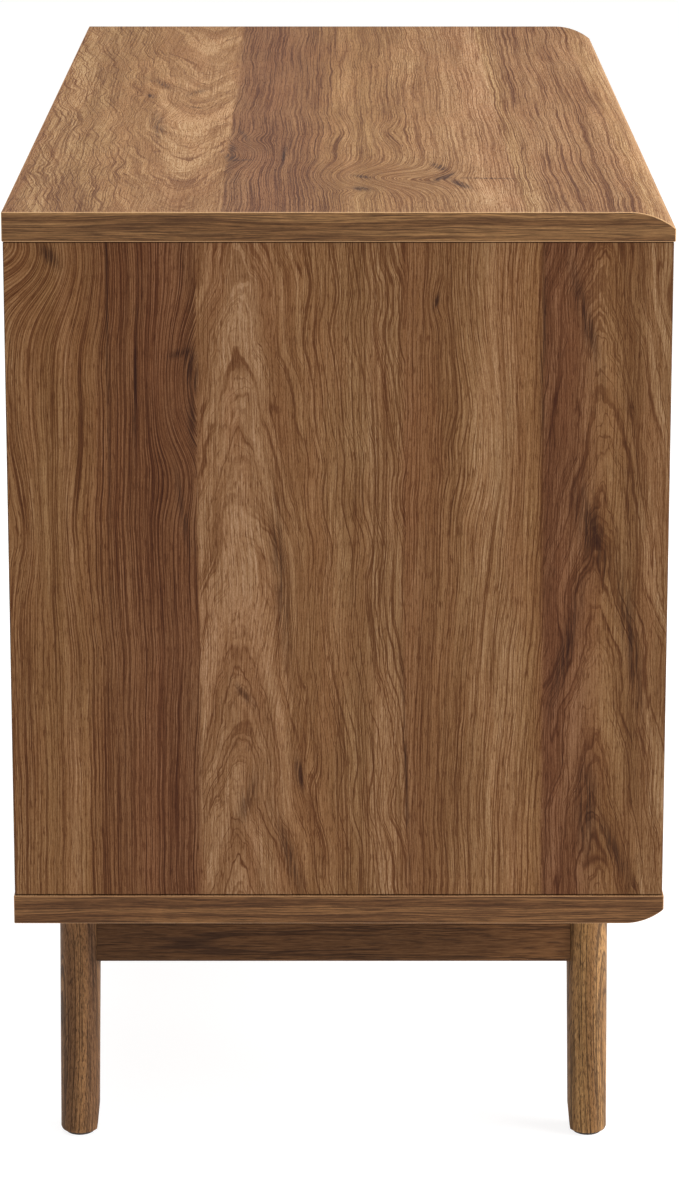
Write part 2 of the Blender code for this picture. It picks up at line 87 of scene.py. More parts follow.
class Net:
    """Writes the nodes of one material or group."""

    def __init__(self, tree):
        self.tree = tree

    def node(self, kind, **settings):
        node = self.tree.nodes.new(kind)
        for key, value in settings.items():
            setattr(node, key, value)
        return node

    def feed(self, socket, value):
        if isinstance(value, Value):
            self.tree.links.new(value.socket, socket)
        else:
            socket.default_value = value

    def math(self, operation, *values, clamp=False):
        node = self.node("ShaderNodeMath", operation=operation, use_clamp=clamp)
        for socket, value in zip(node.inputs, values):
            self.feed(socket, value)
        return Value(self, node.outputs[0])

    def split(self, vector):
        node = self.node("ShaderNodeSeparateXYZ")
        self.feed(node.inputs[0], vector)
        return [Value(self, out) for out in node.outputs]

    def join(self, x=0.0, y=0.0, z=0.0):
        node = self.node("ShaderNodeCombineXYZ")
        for socket, value in zip(node.inputs, (x, y, z)):
            self.feed(socket, value)
        return Value(self, node.outputs[0])

    def noise(self, vector, scale=1.0, detail=1.0, rough=0.5, dims="2D"):
        node = self.node("ShaderNodeTexNoise", noise_dimensions=dims)
        self.feed(node.inputs["Vector"], vector)
        node.inputs["Scale"].default_value = scale
        node.inputs["Detail"].default_value = detail
        node.inputs["Roughness"].default_value = rough
        return Value(self, node.outputs[0])

    def streaks(self, kind, across, along):
        """Flat noise drawn out along the grain, in one of the Streaks kinds."""
        where = self.join(across * kind.across, along * kind.along)
        return self.noise(where, detail=kind.detail, rough=kind.rough)

    def solid_streaks(self, kind, a, b, along):
        """The same in solid wood, with a and b across the grain."""
        where = self.join(a * kind.across, b * kind.across, along * kind.along)
        return self.noise(where, detail=kind.detail, rough=kind.rough, dims="3D")

    def remap(self, value, low, high, to_low=0.0, to_high=1.0, smooth=True):
        node = self.node("ShaderNodeMapRange", clamp=True)
        node.interpolation_type = "SMOOTHSTEP" if smooth else "LINEAR"
        for socket, item in zip(node.inputs, (value, low, high, to_low, to_high)):
            self.feed(socket, item)
        return Value(self, node.outputs[0])

    def ramp(self, value, stops, mode="LINEAR"):
        """Colour stops of (place, (r, g, b) or (r, g, b, a)); gives colour and alpha."""
        node = self.node("ShaderNodeValToRGB")
        ramp = node.color_ramp
        ramp.interpolation = mode
        while len(ramp.elements) < len(stops):
            ramp.elements.new(1.0)
        for element, (place, colour) in zip(ramp.elements, sorted(stops, key=lambda s: s[0])):
            element.position = place
            element.color = (*colour, 1.0)[:4]
        self.feed(node.inputs[0], value)
        return Value(self, node.outputs[0]), Value(self, node.outputs[1])

    def mix(self, share, a, b, blend="MIX"):
        node = self.node("ShaderNodeMix", data_type="RGBA", blend_type=blend)
        self.feed(node.inputs[0], share)
        for socket, value in ((node.inputs[6], a), (node.inputs[7], b)):
            if isinstance(value, tuple):
                socket.default_value = (*value, 1.0)[:4]
            else:
                self.feed(socket, value)
        return Value(self, node.outputs[2])

    def bump(self, height, strength, distance):
        node = self.node("ShaderNodeBump")
        node.inputs["Strength"].default_value = strength
        node.inputs["Distance"].default_value = distance
        self.feed(node.inputs["Height"], height)
        return Value(self, node.outputs[0])

    def scale(self, colour, factors):
        """The colour times three constant factors."""
        node = self.node("ShaderNodeMix", data_type="RGBA", blend_type="MULTIPLY")
        node.inputs[0].default_value = 1.0
        self.feed(node.inputs[6], colour)
        node.inputs[7].default_value = (*factors, 1.0)
        return Value(self, node.outputs[2])

    def group(self, tree, *values):
        """The outputs of a node group that is fed these values."""
        node = self.node("ShaderNodeGroup")
        node.node_tree = tree
        for socket, value in zip(node.inputs, values):
            self.feed(socket, value)
        return [Value(self, out) for out in node.outputs]

    def place(self):
        """The place in metres and the facing, each as x, y and z, and the place as a vector."""
        node = self.node("ShaderNodeTexCoord")
        return (
            self.split(Value(self, node.outputs["Object"])),
            self.split(Value(self, node.outputs["Normal"])),
            Value(self, node.outputs["Object"]),
        )


def rgb(red, green, blue):
    """An 8-bit screen colour as linear light."""
    out = []
    for c in (red, green, blue):
        c = c / 255.0
        out.append(c / 12.92 if c <= 0.04045 else ((c + 0.055) / 1.055) ** 2.4)
    return tuple(out)


# ---------------------------------------------------------------- walnut print
# The print is one sheet of joined staves. u runs across the grain and v along it, in mm.
PRINT_LOW, PRINT_WIDE = -160.0, 560.0
CATHEDRAL_START = 115.0
# A stave's start and the apex of its arches in u, the lean of the arches, the slope of their
# arms, how straight its grain runs, and the strength of its thin lines and of its broad bands
Stave = namedtuple("Stave", "start apex lean arm straight lines bands")
STAVES = (
    Stave(-160.0, -150.0, 0.00, 0.00, 1.00, 0.70, 0.25),
    Stave(-139.0, -100.0, 0.00, 0.00, 1.00, 1.00, 0.30),
    Stave(-65.0, -40.0, 0.00, 0.00, 1.00, 0.80, 0.38),
    Stave(41.0, 78.0, 0.00, 0.00, 1.00, 1.00, 0.25),
    Stave(CATHEDRAL_START, 139.0, 0.21, 0.50, 0.00, 0.50, 0.90),
    Stave(177.0, 140.0, 0.08, 0.40, 0.00, 0.85, 0.50),
    Stave(239.0, 300.0, 0.05, 0.12, 0.95, 0.78, 0.42),
    Stave(322.0, 357.0, 0.16, 0.48, 0.00, 0.62, 1.00),
)
# Tone across the print: u and the screen colour there. A short step is a joint of two staves.
TONES = (
    (-160.0, (140, 98, 62)),
    (-141.0, (135, 95, 59)),
    (-137.0, (130, 89, 56)),
    (-82.0, (130, 89, 56)),
    (-68.0, (147, 104, 65)),
    (-64.0, (145, 100, 65)),
    (-30.0, (135, 93, 58)),
    (30.0, (128, 88, 51)),
    (38.0, (138, 95, 58)),
    (42.5, (125, 85, 49)),
    (62.0, (115, 76, 45)),
    (90.0, (112, 73, 45)),
    (114.0, (111, 74, 46)),
    (116.0, (139, 96, 60)),
    (150.0, (139, 96, 60)),
    (178.0, (134, 92, 55)),
    (214.0, (125, 87, 52)),
    (222.0, (140, 99, 62)),
    (236.0, (139, 98, 61)),
    (240.0, (124, 83, 50)),
    (268.0, (126, 87, 52)),
    (288.0, (140, 98, 60)),
    (306.0, (137, 95, 58)),
    (314.0, (140, 98, 59)),
    (321.0, (131, 90, 53)),
    (324.0, (111, 73, 47)),
    (346.0, (115, 76, 47)),
    (362.0, (127, 87, 51)),
    (378.0, (118, 82, 49)),
    (387.0, (140, 99, 62)),
    (400.0, (134, 95, 59)),
)
# The print's noises: cycles per mm across and along the grain, detail and roughness
Streaks = namedtuple("Streaks", "across along detail rough")
WANDER = Streaks(0.012, 0.0048, 2.0, 0.45)
RIPPLE = Streaks(0.024, 0.026, 1.0, 0.50)
JAG = Streaks(0.09, 0.035, 2.0, 0.60)
WIDE_RINGS = Streaks(0.080, 0.0030, 2.0, 0.50)
FINE_RINGS = Streaks(0.34, 0.0014, 2.0, 0.60)
HAIR_LINES = Streaks(1.20, 0.0040, 1.0, 0.60)
FIBRES = Streaks(1.5, 0.022, 3.0, 0.85)
PORES = Streaks(1.5, 0.11, 1.0, 0.70)
FLECKS = Streaks(1.4, 0.60, 2.0, 0.70)
CLOUDS = Streaks(0.036, 0.005, 2.0, 0.50)
RAGGED = Streaks(0.62, 0.030, 2.0, 0.65)

# How far the grain strays sideways, and how far the arches are jagged along it, in mm
WANDER_MM, RIPPLE_MM, SWAY_MM, JAG_MM = 10.0, 2.5, 20.0, 30.0
SWAY_ALONG, SWAY_APART = 0.013, 40.0
# The joints between staves lean by this much, about this v
JOINT_LEAN, JOINT_MIDDLE = 0.006, 150.0
# An arch has a rounded point (mm squared, mm) and arms that steepen and then level off
ARCH_ROUND, ARCH_SINK = 20.0, 4.5
ARCH_STEEP, ARCH_LEVEL = 0.034, 0.00025

# Noise levels between which each feature comes in
BAND_SPAN, HAIR_SPAN, PORE_SPAN = (0.34, 0.62), (0.47, 0.38), (0.44, 0.28)
EDGE_LEVEL, EDGE_SPAN = 0.49, (0.0, 0.018)
LINE_SPAN = (0.008, 0.047)
# How dark and how pale the fibres, flecks and clouds shade the wood
GRAIN_SHADES, SPECK_SHADES, MOOD_SHADES = (0.62, 1.42), (0.86, 1.16), (0.94, 1.08)
MOOD_SPAN = (0.30, 0.70)
# Reddish patches: cycles per mm, a place of their own in the noise, and the levels
RED_ACROSS, RED_ALONG, RED_OFFSET, RED_SPAN = 0.05, 0.010, 7.0, (0.42, 0.64)

# Colours as factors on the stave's own tone
DARK_WOOD = (0.24, 0.175, 0.13)
PALE_WOOD = (1.20, 1.25, 1.32)
RED_WOOD = (1.08, 0.90, 0.86)
# How much of the pale, dark or red tone each feature takes
PALE_BAND, PALE_PATCH = 0.52, 0.30
DARK_BAND, DARK_EDGE, DARK_LINE, DARK_HAIR, DARK_PORE = 0.27, 0.60, 0.78, 0.62, 0.58
RED_PATCH = 0.20
# A darker shade loses more green and blue than red
GREEN_POWER, BLUE_POWER = 1.18, 1.42
MIDDLE_RED = 0.195
GREEN_DEPTH, BLUE_DEPTH = 0.26, 0.62
GREEN_LIFT = 1.02


def spot_of(u):
    """The place of u on a colour ramp over the whole print."""
    return (u - PRINT_LOW) / PRINT_WIDE


def shades(net, noise, span):
    """The noise as a shade between the darkest and the palest of the span."""
    return net.remap(noise, NOISE_LOW, NOISE_HIGH, *span, smooth=False)


def shaded(net, colour, shade):
    """The colour under a shade about 1, redder where it is darker."""
    tinted = net.join(shade, shade.pow(GREEN_POWER), shade.pow(BLUE_POWER))
    return net.mix(1.0, colour, tinted, "MULTIPLY")


def deepen(net, colour):
    """Darker wood is redder and paler wood is greyer, about a middle tone that stays."""
    red, green, blue = net.split(colour)
    depth = red * (1.0 / MIDDLE_RED)
    green = green * depth.pow(GREEN_DEPTH) * GREEN_LIFT
    return net.join(red, green, blue * depth.pow(BLUE_DEPTH))


def make_print_group():
    """Colour and relief of the print from u, v and a sideways bend of the grain."""
    tree = bpy.data.node_groups.new("walnut_print", "ShaderNodeTree")
    face = tree.interface
    for name in ("u", "v", "bend", "plain"):
        face.new_socket(name, in_out="INPUT", socket_type="NodeSocketFloat")
    face.new_socket("Colour", in_out="OUTPUT", socket_type="NodeSocketColor")
    face.new_socket("Relief", in_out="OUTPUT", socket_type="NodeSocketFloat")
    net = Net(tree)
    source = net.node("NodeGroupInput")
    u, v, bend, plain = (Value(net, source.outputs[i]) for i in range(4))
    ringed = 1.0 - plain

    # slow wander of the grain, and staves whose joints lean a little
    wander = net.streaks(WANDER, u, v) - NOISE_MIDDLE
    ripple = net.streaks(RIPPLE, u, v) - NOISE_MIDDLE
    joint = (u - (v - JOINT_MIDDLE) * JOINT_LEAN - PRINT_LOW) / PRINT_WIDE
    bent = u + bend + wander * WANDER_MM + ripple * RIPPLE_MM

    # the values of the stave at this place, carried as colours of two stepped ramps
    shape, lines = net.ramp(
        joint, [(spot_of(s.start), (s.lean, s.arm, s.straight, s.lines)) for s in STAVES], "CONSTANT"
    )
    rest, _ = net.ramp(
        joint, [(spot_of(s.start), (spot_of(s.apex), s.bands, 0.0)) for s in STAVES], "CONSTANT"
    )
    lean, arm, straight = net.split(shape)
    apex, bands, _ = net.split(rest)

    # arches: a rounded point at the apex, arms that first steepen and then lean out
    sway = net.noise(net.join(v * SWAY_ALONG, apex * SWAY_APART), detail=1.0) - NOISE_MIDDLE
    across = bent + sway * SWAY_MM - (apex * PRINT_WIDE + PRINT_LOW)
    square = across * across
    point = (square + ARCH_ROUND).sqrt() - ARCH_SINK
    steep = square * ARCH_STEEP / (square * ARCH_LEVEL + 1.0)
    jag = net.streaks(JAG, u, v) - NOISE_MIDDLE
    field = (v + jag * JAG_MM) * lean - (point + steep) * arm + bent * straight

    # growth rings: broad soft bands with one sharp dark side, and thin lines between them
    wide = net.streaks(WIDE_RINGS, field, v)
    band = net.remap(wide, *BAND_SPAN)
    edge = net.remap((wide - EDGE_LEVEL).abs(), *EDGE_SPAN, 1.0, 0.0)
    fine = net.streaks(FINE_RINGS, field, v)
    line = net.remap((fine - NOISE_MIDDLE).abs(), *LINE_SPAN, 1.0, 0.0)
    hair = net.remap(net.streaks(HAIR_LINES, bent, v), *HAIR_SPAN)

    # fibres, open pores, flecks and clouds run along the grain without the rings
    pores = net.remap(net.streaks(PORES, bent, v), *PORE_SPAN)
    grain = shades(net, net.streaks(FIBRES, bent, v), GRAIN_SHADES)
    speck = shades(net, net.streaks(FLECKS, u, v), SPECK_SHADES)
    mood = net.remap(net.streaks(CLOUDS, u, v), *MOOD_SPAN, *MOOD_SHADES)
    patches = net.noise(net.join(u * RED_ACROSS, v * RED_ALONG + RED_OFFSET), detail=1.0)
    red = net.remap(patches, *RED_SPAN)

    tone, _ = net.ramp(joint, [(spot_of(place), rgb(*c)) for place, c in TONES])
    dark = net.scale(tone, DARK_WOOD)
    pale = ((1.0 - band) * PALE_BAND * bands + plain * PALE_PATCH).clamp()
    colour = net.mix(pale, tone, net.scale(tone, PALE_WOOD))
    soft = (band * DARK_BAND + edge * DARK_EDGE) * bands * ringed
    colour = net.mix(soft.clamp(), colour, dark)
    colour = net.mix((line * DARK_LINE * lines * ringed).clamp(), colour, dark)
    colour = net.mix((hair * DARK_HAIR * lines * ringed).clamp(), colour, dark)
    colour = net.mix(pores * DARK_PORE, colour, dark)
    colour = shaded(net, colour, grain * speck * mood)
    colour = net.mix(red * RED_PATCH, colour, net.scale(colour, RED_WOOD))
    colour = deepen(net, colour)

    # fibres stand proud; pores and lines are sunk
    relief = grain * 0.5 - pores * 0.9 - line * 0.30 - hair * 0.25
    out = net.node("NodeGroupOutput")
    net.feed(out.inputs[0], colour)
    net.feed(out.inputs[1], relief)
    return tree


# The edge band's noises, colours and strengths
EDGE_WANDER = Streaks(0.04, 0.007, 2.0, 0.50)
EDGE_BANDS = Streaks(0.20, 0.0040, 1.0, 0.50)
EDGE_LINES = Streaks(0.60, 0.0080, 2.0, 0.60)
EDGE_HAIRS = Streaks(1.1, 0.013, 2.0, 0.50)
EDGE_FIBRES = Streaks(1.3, 0.060, 3.0, 0.85)
EDGE_WANDER_MM = 6.0
EDGE_PALE, EDGE_DARK = rgb(133, 94, 60), rgb(107, 72, 44)
EDGE_LINE, EDGE_HAIR = rgb(64, 38, 22), rgb(70, 44, 28)
EDGE_BAND_SPAN, EDGE_LINE_SPAN, EDGE_HAIR_SPAN = (0.40, 0.60), (0.010, 0.075), (0.50, 0.36)
EDGE_LINE_SHARE, EDGE_HAIR_SHARE = 0.70, 0.50
EDGE_SHADES = (0.50, 1.52)


def make_band_group():
    """Edge band: fine lines along its length. a runs across it and b along it, in mm."""
    tree = bpy.data.node_groups.new("edge_band", "ShaderNodeTree")
    face = tree.interface
    for name in ("a", "b"):
        face.new_socket(name, in_out="INPUT", socket_type="NodeSocketFloat")
    face.new_socket("Colour", in_out="OUTPUT", socket_type="NodeSocketColor")
    face.new_socket("Relief", in_out="OUTPUT", socket_type="NodeSocketFloat")
    net = Net(tree)
    source = net.node("NodeGroupInput")
    a, b = (Value(net, source.outputs[i]) for i in range(2))
    bent = a + (net.streaks(EDGE_WANDER, a, b) - NOISE_MIDDLE) * EDGE_WANDER_MM
    band = net.remap(net.streaks(EDGE_BANDS, bent, b), *EDGE_BAND_SPAN)
    fine = net.streaks(EDGE_LINES, bent, b)
    line = net.remap((fine - NOISE_MIDDLE).abs(), *EDGE_LINE_SPAN, 1.0, 0.0)
    hair = net.remap(net.streaks(EDGE_HAIRS, bent, b), *EDGE_HAIR_SPAN)
    colour = net.mix(band, EDGE_PALE, EDGE_DARK)
    colour = net.mix(line * EDGE_LINE_SHARE, colour, EDGE_LINE)
    colour = net.mix(hair * EDGE_HAIR_SHARE, colour, EDGE_HAIR)
    shade = shades(net, net.streaks(EDGE_FIBRES, bent, b), EDGE_SHADES)
    colour = net.mix(1.0, colour, net.join(shade, shade, shade), "MULTIPLY")
    out = net.node("NodeGroupOutput")
    net.feed(out.inputs[0], colour)
    net.feed(out.inputs[1], shade * 0.6 - line * 0.5)
    return tree


PRINT = make_print_group()
BAND = make_band_group()


def new_material(name, roughness, metallic=0.0, specular=0.5):
    mat = bpy.data.materials.new(name)
    mat.use_nodes = True
    net = Net(mat.node_tree)
    shader = mat.node_tree.nodes["Principled BSDF"]
    shader.inputs["Roughness"].default_value = roughness
    shader.inputs["Metallic"].default_value = metallic
    shader.inputs["Specular IOR Level"].default_value = specular
    return mat, net, shader


def hump(net, u, v, spot):
    """A soft oval: u, v, half width, half length in mm, lean, and its height."""
    cu, cv, wide, long, lean, amount = spot
    along = (v - cv) * (1.0 / long)
    over = (u - cu) * (1.0 / wide) - (v - cv) * (lean / wide)
    return (0.0 - (over * over + along * along)).exp() * amount


# Each row is a soft oval: u, v, half width and half length in mm, lean, and its height.
# Places where the grain bends aside, with the bend in mm as the height
BENDS = {
    "knots": (
        (113.0, 86.0, 20.0, 40.0, 0.0, 17.0),
        (104.0, 142.0, 16.0, 26.0, 0.0, -8.0),
    ),
    "swirl": (
        (14.0, 4.0, 34.0, 34.0, 0.2, -30.0),
        (30.0, -36.0, 12.0, 16.0, 0.0, 10.0),
        (12.0, 176.0, 10.0, 42.0, 0.0, -6.0),
        (38.0, 176.0, 10.0, 42.0, 0.0, 5.0),
    ),
    "arch": (
        (160.0, 210.0, 18.0, 60.0, 0.0, -9.0),
        (176.0, 330.0, 9.0, 20.0, 0.0, 5.0),
        (286.0, 120.0, 20.0, 70.0, 0.15, -8.0),
        (258.0, 36.0, 6.0, 12.0, 0.0, 3.0),
    ),
}
# Dark marks, with their strength as the height
MARKS = {
    "knots": (
        (112.0, 78.0, 3.4, 12.0, 0.10, 1.30),
        (104.0, 68.0, 5.0, 3.0, -0.8, 0.72),
        (112.0, 110.0, 2.4, 18.0, 0.05, 0.72),
        (78.0, 92.0, 1.4, 34.0, -0.02, 0.59),
        (106.0, 165.0, 2.0, 26.0, 0.14, 0.52),
    ),
    "swirl": (
        (29.0, -34.0, 4.6, 6.6, 0.3, 1.33),
        (28.0, 8.0, 3.9, 6.6, 0.5, 1.00),
        (-32.0, -18.0, 3.4, 15.4, 0.3, 1.22),
        (-22.0, 6.0, 3.9, 13.2, -0.4, 1.38),
        (-21.0, 42.0, 3.4, 13.2, 0.2, 1.16),
        (-50.0, 2.0, 13.8, 2.4, 2.5, 0.88),
    ),
    "arch": (
        (165.0, 208.0, 4.2, 48.0, 0.07, 0.55),
        (176.0, 331.0, 2.6, 9.0, 0.1, 1.10),
        (170.0, 385.0, 3.4, 24.0, 0.30, 0.65),
        (144.0, 348.0, 4.0, 13.0, -0.3, 0.59),
        (258.0, 36.0, 1.6, 5.0, -0.3, 1.04),
        (143.0, 281.0, 3.0, 8.0, 0.8, 0.49),
    ),
    "purple": (
        (347.0, 46.0, 4.0, 30.0, 0.28, 0.62),
        (352.0, 176.0, 7.0, 28.0, 0.25, 0.68),
        (338.0, 252.0, 4.5, 34.0, -0.22, 0.68),
        (377.0, 246.0, 4.5, 46.0, 0.14, 0.62),
        (352.0, 352.0, 6.0, 26.0, 0.00, 0.72),
        (368.0, 378.0, 4.0, 18.0, 0.45, 0.59),
        (322.0, 60.0, 1.6, 60.0, 0.0, 0.59),
        (62.0, 60.0, 0.9, 160.0, 0.0, 0.59),
        (241.0, 330.0, 1.2, 70.0, 0.04, 0.59),
    ),
}
# Patches of plain pale wood between the rings, with the paleness as the height
PLAINS = {
    "swirl": ((-48.0, -58.0, 13.0, 40.0, 0.0, 0.80),),
    "arch": (
        (142.0, 192.0, 14.0, 66.0, 0.04, 0.85),
        (143.0, 48.0, 9.0, 18.0, 0.1, 0.60),
        (143.0, 330.0, 10.0, 24.0, 0.0, 0.55),
        (148.0, 558.0, 10.0, 44.0, 0.0, 0.70),
        (294.0, 120.0, 10.0, 46.0, 0.1, 0.50),
    ),
    "purple": ((357.0, 272.0, 8.0, 46.0, 0.0, 0.55),),
}
MARK_COLOUR = (0.30, 0.23, 0.19)
# Noise levels that break the marks up, and the strength at each
RAGGED_SPAN, RAGGED_SHARES = (0.34, 0.58), (0.15, 1.45)


def humps(net, u, v, table, groups):
    """The sum of a table's ovals for the named groups, or 0 if they have none.

    The grain bends round the knots only up to the cathedral stave.
    """
    total = 0.0
    for name in groups:
        for spot in table.get(name, ()):
            one = hump(net, u, v, spot)
            if table is BENDS and name == "knots":
                one = one * (u < CATHEDRAL_START)
            total = one + total
    return total


def print_colour(net, u, v, groups):
    """The print with the bends, plain patches and dark marks of the named groups."""
    bend = humps(net, u, v, BENDS, groups)
    plain = humps(net, u, v, PLAINS, groups)
    colour, relief = net.group(PRINT, u, v, bend, plain)
    mark = humps(net, u, v, MARKS, groups)
    if isinstance(mark, Value):
        ragged = net.streaks(RAGGED, u + bend, v)
        mark = (mark * net.remap(ragged, *RAGGED_SPAN, *RAGGED_SHARES)).clamp()
        colour = net.mix(mark, colour, net.scale(colour, MARK_COLOUR))
    return colour, relief


PLAIN_TINT = (1, 1, 1)
# Painted arris colours: a pale painted highlight along the boards' bevelled edges, and a painted
# seam shadow for the sides' arrises
ARRIS_HIGHLIGHT = rgb(196, 152, 112)
SEAM_SHADOW = rgb(58, 38, 26)
FACING_LIMIT = 0.60
# Facing levels that find the bevelled arris, and the share of the painted arris colour it takes
ARRIS_SPAN, ARRIS_PAINT_SHARE = (0.86, 0.72), 0.62
WOOD_SPECULAR = 0.12
BOARD_BUMP = (0.35, 0.00018)
# Sunk parts of a surface are rougher and proud parts smoother than its own roughness
SUNK_ROUGHER, PROUD_SMOOTHER = 0.10, 0.05


def roughness(net, height, low, high, rough):
    """Roughness from the relief, between its lowest and highest values."""
    return net.remap(height, low, high, rough + SUNK_ROUGHER, rough - PROUD_SMOOTHER)


def board_material(
    name, normal, across, along, groups=(), rough=0.52, tint=PLAIN_TINT, arris_paint=ARRIS_HIGHLIGHT
):
    """A printed board with banded edges.

    across and along say where the board is cut from the print: (axis, sign, offset in mm).
    The last argument is the colour painted on the arris between the face and the edge band: a
    painted highlight by default, and a painted seam shadow on the sides.
    """
    mat, net, shader = new_material(name, rough, specular=WOOD_SPECULAR)
    place, facing, _ = net.place()
    u = place[across[0]] * (MM * across[1]) + across[2]
    v = place[along[0]] * (MM * along[1]) + along[2]
    colour, relief = print_colour(net, u, v, groups)
    flat = facing[normal].abs() > FACING_LIMIT
    deep = place[normal] * MM
    ends = facing[along[0]].abs() > FACING_LIMIT
    edge_colour, edge_relief = net.group(BAND, deep, ends * u + (1.0 - ends) * v)
    colour = net.mix(flat, edge_colour, colour)
    sharp = net.math("MAXIMUM", facing[0].abs(), facing[1].abs())
    sharp = net.math("MAXIMUM", sharp, facing[2].abs())
    # the bevelled arrises take the painted arris colour: by default a painted highlight, and on the
    # sides a painted seam shadow
    arris = net.remap(sharp, *ARRIS_SPAN)
    colour = net.mix(arris * ARRIS_PAINT_SHARE, colour, arris_paint)
    if tint != PLAIN_TINT:
        colour = net.scale(colour, tint)
    net.feed(shader.inputs["Base Color"], colour)
    height = flat * relief + (1.0 - flat) * edge_relief
    net.feed(shader.inputs["Normal"], net.bump(height, *BOARD_BUMP))
    net.feed(shader.inputs["Roughness"], roughness(net, height, -0.8, 0.9, rough))
    return mat


# ---------------------------------------------------------------- solid wood
# The same kinds of noise; the growth lines count rings, not mm, across the grain
WOOD_WAVE = Streaks(0.02, 0.010, 2.0, 0.50)
WOOD_LINES = Streaks(1.0, 0.004, 2.0, 0.60)
WOOD_BANDS = Streaks(0.12, 0.003, 1.0, 0.50)
WOOD_FIBRES = Streaks(1.3, 0.055, 3.0, 0.85)
WOOD_PORES = Streaks(1.4, 0.07, 1.0, 0.50)
WAVE_RINGS = 1.6
WOOD_LINE_SPAN, WOOD_LINE_SHARE = (0.010, 0.070), 0.70
WOOD_BAND_SPAN, WOOD_PORE_SPAN = (0.35, 0.65), (0.46, 0.34)
WOOD_SHADES = (0.46, 1.66)
WOOD_BUMP = (0.40, 0.00020)


def solid_wood(
    name, grain_axis, pith, palette,
    rough=0.52, spacing=2.6, specular=WOOD_SPECULAR, pore_depth=0.60, turn=1.0,
):
    """Wood with rings round a pith line that runs along one axis. pith is in mm.

    spacing is the width of a ring in mm. turn is 1, or -1 to lay the same wood end for end.
    """
    mat, net, shader = new_material(name, rough, specular=specular)
    place, _, _ = net.place()
    others = [i for i in range(3) if i != grain_axis]
    run = place[grain_axis] * (MM * turn)
    a = place[others[0]] * MM - pith[0]
    b = place[others[1]] * MM - pith[1]
    wave = net.solid_streaks(WOOD_WAVE, a, b, run) - NOISE_MIDDLE
    ring = (a * a + b * b).sqrt() + wave * (spacing * WAVE_RINGS)
    lines = net.streaks(WOOD_LINES, ring / spacing, run)
    line = net.remap((lines - NOISE_MIDDLE).abs(), *WOOD_LINE_SPAN, 1.0, 0.0)
    band = net.remap(net.streaks(WOOD_BANDS, ring, run), *WOOD_BAND_SPAN)
    pores = net.remap(net.solid_streaks(WOOD_PORES, a, b, run), *WOOD_PORE_SPAN)
    light, middle, dark = palette
    colour = net.mix(band, light, middle)
    colour = net.mix(line * WOOD_LINE_SHARE, colour, dark)
    colour = net.mix(pores * pore_depth, colour, dark)
    shade = shades(net, net.solid_streaks(WOOD_FIBRES, a, b, run), WOOD_SHADES)
    colour = shaded(net, colour, shade)
    net.feed(shader.inputs["Base Color"], colour)
    height = shade * 0.6 - line * 0.4 - pores * 0.8
    net.feed(shader.inputs["Normal"], net.bump(height, *WOOD_BUMP))
    net.feed(shader.inputs["Roughness"], roughness(net, height, -1.0, 0.8, rough))
    return mat


# ---------------------------------------------------------------- small materials
STEEL_DARK, STEEL_PALE = (0.50, 0.52, 0.54), (0.72, 0.72, 0.70)
STEEL_ACROSS, STEEL_ALONG, STEEL_SPANGLE = 1.2, 0.03, 160.0
FELT = ((0.02, 0.018, 0.016), (0.05, 0.045, 0.04), 0.9, 3000.0, 0.6)
BROWN_PLASTIC = ((0.050, 0.028, 0.018), (0.075, 0.043, 0.028), 0.5, 1800.0, 0.25)
MOULDED_BUMP = 0.0003
MOULDED_SWING = 0.06


def steel_material(name, axis):
    """Zinc plate, faintly spangled and drawn along its length."""
    mat, net, shader = new_material(name, 0.32, metallic=1.0)
    place, _, where = net.place()
    scales = [MM * STEEL_ACROSS] * 3
    scales[axis] = MM * STEEL_ALONG
    drawn = net.join(*(p * s for p, s in zip(place, scales)))
    streak = net.noise(drawn, detail=2.0, dims="3D")
    cloud = net.noise(where, scale=STEEL_SPANGLE, detail=2.0, dims="3D")
    net.feed(shader.inputs["Base Color"], net.mix(cloud, STEEL_DARK, STEEL_PALE))
    rough = net.remap(streak, 0.3, 0.7, 0.24, 0.42)
    net.feed(shader.inputs["Roughness"], rough)
    net.feed(shader.inputs["Normal"], net.bump(streak, 0.15, 0.0001))
    return mat


def moulded_material(name, dark, pale, rough, scale, bump):
    """Moulded plastic or felt: a fine all-over texture in two close tones.

    scale is the grain's cycles per metre and bump its strength.
    """
    mat, net, shader = new_material(name, rough)
    _, _, where = net.place()
    grain = net.noise(where, scale=scale, detail=3.0, dims="3D")
    net.feed(shader.inputs["Base Color"], net.mix(grain, dark, pale))
    net.feed(shader.inputs["Normal"], net.bump(grain, bump, MOULDED_BUMP))
    rougher = net.remap(grain, 0.3, 0.7, rough - MOULDED_SWING, rough + MOULDED_SWING)
    net.feed(shader.inputs["Roughness"], rougher)
    return mat


# ---------------------------------------------------------------- dress the nodes
# Tints of the same print as painted light and shade: the top painted lighter, the sides and the
# bottom painted darker
TOP_LIGHT_TINT = (1.02, 1.09, 1.06)
BOTTOM_SHADE_TINT = (0.80, 0.78, 0.72)
SIDE_SHADE_TINT = (0.94, 0.95, 0.99)
WALNUT = (rgb(149, 110, 67), rgb(119, 84, 49), rgb(52, 33, 18))
# The rear legs' walnut is a darker copy of the front legs' walnut: painted shade for the legs
# further from the front softbox
WALNUT_REAR_SHADED = (rgb(128, 91, 57), rgb(104, 71, 43), rgb(48, 29, 16))
# The rails' walnut is darker: partly darker wood and partly painted shade under the bottom board
WALNUT_DARK_SHADED = (rgb(109, 73, 42), rgb(84, 55, 31), rgb(47, 28, 16))
BIRCH = (rgb(222, 200, 164), rgb(210, 184, 146), rgb(176, 146, 108))
BIRCH_FINISH = {"rough": 0.55, "spacing": 4.5, "specular": 0.30, "pore_depth": 0.25}
